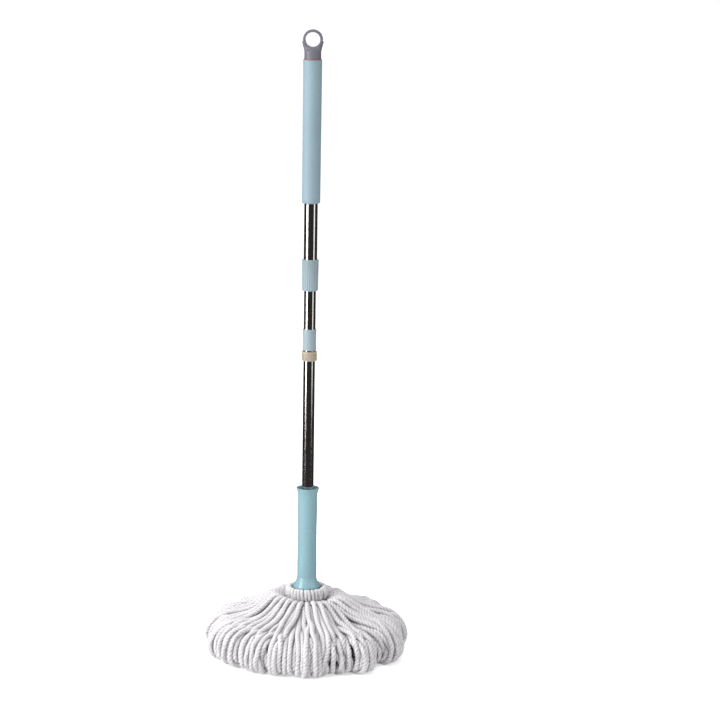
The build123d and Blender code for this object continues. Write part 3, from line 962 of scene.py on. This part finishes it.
@dataclass
class YarnHead:
    """The spread yarn: fingers of strands over the floor, a hidden column and the rolled neck."""

    strand: float = 5.1 * MM
    pitch: float = 20.5 * MM
    strands: int = 198
    sets: int = 3
    unrest: tuple[float, ...] = (1.0, 0.85, 0.15)
    sectors: int = 18
    seed: int = 11
    spacing: float = 7.5 * MM
    heap_bearing: float = math.radians(165.0)
    parting: float = 11.0 * MM
    parting_spread: float = math.radians(11.0)
    partings: tuple[float, ...] = (319.0, 262.0, 190.0, 128.0, 75.0, 22.0)
    parting_shares: tuple[float, ...] = (1.0, 0.5, 0.0)
    gathered: float = math.radians(297.0)
    gathered_spread: float = math.radians(10.0)
    neck: float = 3.4 * MM
    neck_strands: int = 35
    thinnest: float = 0.90
    thickest: float = 1.07
    packing: float = 0.93
    tied_neck: tuple[float, float] = (0.72, 0.09)
    tied_base: tuple[float, float] = (0.42, 0.13)
    finger_sizes: tuple[int, ...] = (2, 3, 3, 4, 4, 5)
    curled_share: float = 0.35
    gather_radius: float = 30.0 * MM
    gather_height: float = 50.0 * MM
    spread_from_mm: float = 55.0
    spread_over_mm: float = 120.0
    heap_at_mm: float = 66.0
    heap_width_mm: float = 16.0
    curl_reach: float = 60.0 * MM
    wave_length: float = 9.5 * MM
    least_turning: float = 60.0 * MM
    column_strand: float = 3.6 * MM
    column_rings: tuple[tuple[float, int], ...] = ((16.4, 12), (22.0, 16), (27.6, 21))
    column_steps: int = 16
    column_gap: float = 0.2 * MM
    neck_pitch: float = 15.5 * MM
    neck_proud: float = 0.8 * MM

    crown: tuple[tuple[float, float], ...] = (
        (34.0, 92.0), (39.0, 97.0), (45.5, 104.0), (53.0, 112.0), (62.0, 116.0), (71.0, 113.0),
        (82.0, 101.0), (96.0, 88.0), (128.0, 74.0), (150.0, 69.0), (166.0, 66.5), (179.0, 59.0),
        (187.0, 45.0), (190.5, 29.0), (190.0, 14.0),
    )
    turned_under: tuple[tuple[float, float], ...] = (
        (187.0, 6.5), (179.0, 5.1), (150.0, 4.6), (110.0, 4.6), (70.0, 5.0), (45.0, 8.0),
        (36.0, 9.5), (31.0, 9.5),
    )
    neck_arch: tuple[tuple[float, float], ...] = (
        (0.35, 0.0), (0.05, 0.12), (0.0, 0.40), (0.05, 0.80), (0.42, 1.0), (0.80, 0.90),
        (0.97, 0.62), (1.0, 0.28), (0.9, 0.02), (0.6, -0.03),
    )

    def build(self, material: bpy.types.Material) -> list[bpy.types.Object]:
        """Make every piece of yarn and set how it moves.

        Args:
            material: The yarn's finish.

        Returns:
            The pieces of yarn.
        """
        chance = random.Random(self.seed)
        pieces = self._skirt(chance, material)
        pieces.append(self._column(chance, material))
        pieces.append(self._neck(chance, material))
        return pieces

    def _fingers(
        self, count: int, first: float, unrest: float, chance: random.Random
    ) -> list[Finger]:
        """Bunch strands round the head into uneven fingers.

        Args:
            count: How many strands there are to bunch.
            first: Bearing of the first strand.
            unrest: How far the fingers stray from lying evenly, from 0 to 1.
            chance: The source of unevenness.

        Returns:
            The finger of each strand.
        """
        owners: list[Finger] = []
        while len(owners) < count:
            size = min(chance.choice(self.finger_sizes), count - len(owners))
            centre = first + TURN * (len(owners) + (size - 1) / 2.0) / count
            gathered = abs(centre - self.gathered) < self.gathered_spread
            curled = unrest > 0.5 and (gathered or chance.random() < self.curled_share)
            finger = Finger(
                centre=centre,
                squeeze=chance.uniform(0.28, 0.55) * unrest,
                reach=chance.uniform(-8.0, 3.0) * MM - (6.0 + 10.0 * gathered) * MM * curled,
                lift=chance.uniform(-6.0, 6.0) * MM + 6.0 * MM * gathered,
                sway=chance.uniform(-11.0, 11.0) * MM * unrest,
                phase=chance.uniform(0.0, TURN),
                lean=chance.uniform(-14.0, 14.0) * MM * unrest,
                curl=chance.choice((-1.0, 1.0)) * chance.uniform(18.0, 34.0) * MM * curled,
            )
            owners.extend([finger] * size)
        return owners

    def _skirt(self, chance: random.Random, material: bpy.types.Material) -> list[bpy.types.Object]:
        """Lay the spread strands, settle them and sweep them sector by sector.

        Args:
            chance: The source of unevenness.
            material: The yarn's finish.

        Returns:
            One piece for each sector.
        """
        count = self.strands // self.sets
        sets = [
            self._fingers(count, TURN * number / self.strands, unrest, chance)
            for number, unrest in enumerate(self.unrest)
        ]
        owners = [finger for together in zip(*sets) for finger in together]
        laid = [self._lay(number, finger, chance) for number, finger in enumerate(owners)]
        thickness = 2.0 * self.strand * self.packing
        pile = StrandPile(thickness=thickness, floor=self.strand * self.thickest)
        settled = pile.settle(laid)
        rope = Rope(self.strand, self.pitch, steps=4)
        pieces = []
        for sector in range(self.sectors):
            name = f"yarn_sector_{sector + 1:02d}"
            share = self.strands // self.sectors
            paths = [
                self._thickness(strand, chance)
                for strand in settled[sector * share : (sector + 1) * share]
            ]
            piece = finish_piece(name, rope.mesh(name, paths), material)
            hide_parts("yarn_skirt")
            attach(piece, "lower_pole")
            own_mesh(piece)
            pieces.append(piece)
        rope.discard()
        return pieces

    def _lay(self, number: int, finger: Finger, chance: random.Random) -> np.ndarray:
        """Lay one strand from the neck over the crown, round the rim and back under.

        Args:
            number: The strand's number round the head.
            finger: The finger that it belongs to.
            chance: The source of unevenness.

        Returns:
            Points along the strand, evenly spaced.
        """
        layer = 2 * (number % self.sets) + number // self.sets % 2
        own = TURN * number / self.strands
        reach = finger.reach + chance.uniform(-5.0, 4.0) * MM - 1.6 * MM * layer
        lift = finger.lift + chance.uniform(-1.5, 1.5) * MM
        heap = (1.5 + 4.5 * math.cos(own - self.heap_bearing) + chance.uniform(-2.5, 2.5)) * MM
        wave = chance.uniform(1.0, 3.2) * MM
        wave_start = chance.uniform(0.0, TURN)
        parted = self._part(own) * self.parting_shares[number % self.sets]
        outline = np.array(self.crown + self.turned_under) * MM
        walked = np.concatenate(([0.0], np.cumsum(np.linalg.norm(np.diff(outline, axis=0), axis=1))))
        rim = walked[len(self.crown) - 1]
        count = int(walked[-1] / self.spacing)
        points = np.empty((count, 3))
        for step, gone in enumerate(np.linspace(0.0, walked[-1], count)):
            radius = float(np.interp(gone, walked, outline[:, 0]))
            height = float(np.interp(gone, walked, outline[:, 1]))
            out = min(1.0, max(0.0, (radius / MM - self.spread_from_mm) / self.spread_over_mm))
            buried = layer * 2.0 * self.strand * max(0.0, 1.0 - out * 1.15) ** 1.1
            if gone < rim:
                height += lift * math.sin(math.pi * out) - buried
                height += heap * math.exp(-(((radius / MM - self.heap_at_mm) / self.heap_width_mm) ** 2))
            else:
                height += buried * 0.85
            angle = finger.centre + (own - finger.centre) * (1.0 - finger.squeeze * out)
            across = (finger.lean + parted) * out**2 + finger.sway * out * math.sin(out * 4.0 + finger.phase)
            near_rim = max(0.0, 1.0 - abs(gone - rim) / self.curl_reach)
            across += finger.curl * near_rim**2
            across += wave * out * math.sin(gone / self.wave_length + wave_start)
            place = radius + reach * out
            turned = across / max(place, self.least_turning)
            points[step] = cylindrical(place, angle + turned, height)
        points[:, 2] = np.maximum(points[:, 2], self.strand * self.thickest)
        return points

    def _part(self, bearing: float) -> float:
        """How far a strand is drawn aside where the head parts.

        Args:
            bearing: The strand's own bearing.

        Returns:
            The sideways distance at the rim.
        """
        aside = 0.0
        for parting in self.partings:
            off = (bearing - math.radians(parting) + math.pi) % TURN - math.pi
            aside += math.copysign(self.parting, off) * math.exp(-((off / self.parting_spread) ** 2))
        return aside

    def _thickness(self, strand: np.ndarray, chance: random.Random) -> list[tuple[Vector, float]]:
        """Give a strand's points their thickness, thinner where it is tied at its ends.

        Args:
            strand: The strand's points.
            chance: The source of unevenness.

        Returns:
            Points with thickness shares.
        """
        last = len(strand) - 1
        neck, neck_growth = self.tied_neck
        base, base_growth = self.tied_base
        path = []
        for number, point in enumerate(strand):
            tied = min(1.0, neck + neck_growth * number, base + base_growth * (last - number))
            path.append((Vector(point), tied * chance.uniform(self.thinnest, self.thickest)))
        return path

    def _column(self, chance: random.Random, material: bpy.types.Material) -> bpy.types.Object:
        """The inner lengths of yarn round the tube, twisted tighter by the sleeve's travel, as the real ones
        draw out when the sleeve is pulled up.

        Args:
            chance: The source of unevenness.
            material: The yarn's finish.

        Returns:
            The column.
        """
        low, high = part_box("yarn_core")
        travel = next(j for j in frame["joints"] if j["name"] == "wring_slide")["range_m"][1]
        length = high.z - low.z
        rope = Rope(self.column_strand, self.pitch * length / (length + travel), steps=8)
        paths = []
        for radius, count in self.column_rings:
            for number in range(count):
                start = TURN * (number + chance.uniform(-0.15, 0.15)) / count
                lean = chance.uniform(-0.12, 0.12)
                path = []
                for step in range(self.column_steps + 1):
                    share = step / self.column_steps
                    wave = radius + chance.uniform(-0.4, 0.4)
                    height = low.z + self.column_gap + (length - 2.0 * self.column_gap) * share
                    path.append((cylindrical(wave * MM, start + lean * share, height), 1.0))
                paths.append(path)
        piece = finish_piece("yarn_column", rope.mesh("yarn_column", paths), material)
        rope.discard()
        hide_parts("yarn_core")
        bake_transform(piece)
        return piece

    def _neck(self, chance: random.Random, material: bpy.types.Material) -> bpy.types.Object:
        """The rolled neck: short lengths of yarn wound over its hoop.

        Args:
            chance: The source of unevenness.
            material: The yarn's finish.

        Returns:
            The rolled neck.
        """
        low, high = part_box("neck_roll")
        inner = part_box("head_collar")[1].x + self.neck
        outer = high.x - self.neck + self.neck_proud
        bottom = low.z + self.neck
        top = high.z - self.neck
        rope = Rope(self.neck, self.neck_pitch, steps=8)
        wide = outer - inner
        tall = top - bottom
        paths = []
        for number in range(self.neck_strands):
            start = TURN * (number + chance.uniform(-0.13, 0.13)) / self.neck_strands
            lean = chance.uniform(0.02, 0.24)
            swell = chance.uniform(-0.9, 1.1) * MM
            path = []
            for step, (across, up) in enumerate(self.neck_arch):
                turned = start + lean * (step / (len(self.neck_arch) - 1) - 0.5)
                place = inner + wide * across + swell * across + chance.uniform(-0.3, 0.3) * MM
                path.append((cylindrical(place, turned, bottom + tall * up + swell * 0.4), 1.0))
            paths.append(path)
        piece = finish_piece("rolled_neck", rope.mesh("rolled_neck", paths), material)
        rope.discard()
        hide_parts("neck_roll")
        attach(piece, "wringer_sleeve")
        return piece


# --- Studio --------------------------------------------------------------------------------------


@dataclass(frozen=True)
class SoftBox:
    """A soft box that faces the mop; its bearing is in degrees from the camera, positive to the right."""

    name: str
    bearing: float
    distance: float
    width: float
    tall: float
    power: float
    height: float
    highest_aim: float = 0.6

    def build(self) -> None:
        """Make the light, stand it on its bearing and turn it to the mop."""
        data = bpy.data.lights.new(self.name, "AREA")
        data.shape = "RECTANGLE"
        data.size = self.width
        data.size_y = self.tall
        data.energy = self.power
        lamp = bpy.data.objects.new(self.name, data)
        lamp.visible_camera = False
        bpy.context.scene.collection.objects.link(lamp)
        angle = math.radians(self.bearing)
        spot = Vector((math.sin(angle) * self.distance, -math.cos(angle) * self.distance, self.height))
        aim = Vector((0.0, 0.0, min(self.height, self.highest_aim))) - spot
        lamp.matrix_world = Matrix.Translation(spot) @ aim.to_track_quat("-Z", "Y").to_matrix().to_4x4()


@dataclass
class Studio:
    """White floor, tall soft boxes each side of the camera, and the camera."""

    lens: float = 119.7
    distance: float = 4.40
    height: float = 1.41
    pitch_down: float = 10.85
    roll: float = 0.9
    aside: float = 0.095
    sensor: float = 36.0
    floor_size: float = 60.0
    floor_glow: float = 0.5
    boxes: tuple[SoftBox, ...] = (
        SoftBox("left_box", bearing=-62.0, distance=3.0, width=1.5, tall=3.2, power=82.0, height=1.35),
        SoftBox("right_box", bearing=64.0, distance=3.0, width=1.0, tall=3.2, power=17.0, height=1.35),
        SoftBox("back_box", bearing=180.0, distance=3.0, width=1.1, tall=3.2, power=14.0, height=1.35),
        SoftBox("top_box", bearing=-25.0, distance=1.4, width=2.4, tall=2.0, power=40.0, height=3.6),
    )

    def build(self) -> None:
        """Set up the whole studio."""
        self._camera()
        self._floor()
        self._sky()
        for box in self.boxes:
            box.build()
        bpy.context.scene.view_settings.view_transform = "Standard"
        log.info("studio ready")

    def _camera(self) -> None:
        """Camera in front of the mop, a little above its top."""
        data = bpy.data.cameras.new("camera")
        data.lens = self.lens
        data.sensor_width = self.sensor
        camera = bpy.data.objects.new("camera", data)
        bpy.context.scene.collection.objects.link(camera)
        tilt = Matrix.Rotation(math.radians(90.0 - self.pitch_down), 4, "X")
        turn = Matrix.Rotation(math.radians(self.roll), 4, "Z")
        spot = Matrix.Translation((self.aside, -self.distance, self.height))
        camera.matrix_world = spot @ tilt @ turn
        bpy.context.scene.camera = camera

    def _floor(self) -> None:
        """Pale floor that doesn't show in the steel's reflections."""
        work = bmesh.new()
        bmesh.ops.create_grid(work, x_segments=4, y_segments=4, size=self.floor_size / 2.0)
        mesh = bpy.data.meshes.new("studio_floor")
        work.to_mesh(mesh)
        work.free()
        material, graph, shader = new_material("studio_floor")
        place = graph.add("TexCoord").outputs["Object"]
        noise = graph.add("TexNoise", Vector=place, Scale=3.0, Detail=2.0)
        tone = graph.mix(noise.outputs[0], (0.93, 0.93, 0.935), (0.945, 0.945, 0.945))
        graph.feed(shader, "Base Color", tone)
        shader.inputs["Roughness"].default_value = 0.9
        shader.inputs["Specular IOR Level"].default_value = 0.1
        seen = graph.add("LightPath").outputs["Is Camera Ray"]
        shader.inputs["Emission Color"].default_value = (1.0, 1.0, 1.0, 1.0)
        graph.feed(shader, "Emission Strength", graph.math("MULTIPLY", seen, self.floor_glow))
        floor = finish_piece("studio_floor", mesh, material)
        floor.visible_glossy = False

    @staticmethod
    def _sky() -> None:
        """White to the camera, softer from the right and below, dark in reflections."""
        world = bpy.data.worlds.new("studio")
        world.use_nodes = True
        bpy.context.scene.world = world
        graph = Graph(world.node_tree)
        light = world.node_tree.nodes["Background"]
        path = graph.add("LightPath")
        split = graph.add("SeparateXYZ", Vector=graph.add("TexCoord").outputs["Generated"])
        above = graph.band(split.outputs["Z"], -0.1, 0.95, 0.0, 1.0)
        lit = graph.mix(above, (0.40, 0.41, 0.42), (1.0, 1.0, 1.0))
        sideways = graph.band(split.outputs["X"], -0.9, 0.9, 0.0, 0.55)
        soft = graph.mix(sideways, lit, (0.14, 0.14, 0.145))
        glossy = graph.mix(path.outputs["Is Glossy Ray"], soft, (0.03, 0.028, 0.028))
        graph.feed(light, "Color", graph.mix(path.outputs["Is Camera Ray"], glossy, (1.0, 1.0, 1.0)))
        light.inputs["Strength"].default_value = 1.0


def main() -> None:
    """Build every piece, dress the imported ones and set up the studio."""
    logging.basicConfig(level=logging.INFO, format="%(name)s %(message)s")
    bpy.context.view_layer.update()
    effects = Effects()
    materials = {finish: finish.value.build(effects) for finish in Finish}
    FixedPieces().dress(materials)
    WringerSleeve().build(materials[Finish.TEAL])
    YarnHead().build(materials[Finish.YARN])
    Studio().build()


if __name__ == "__main__":
    main()
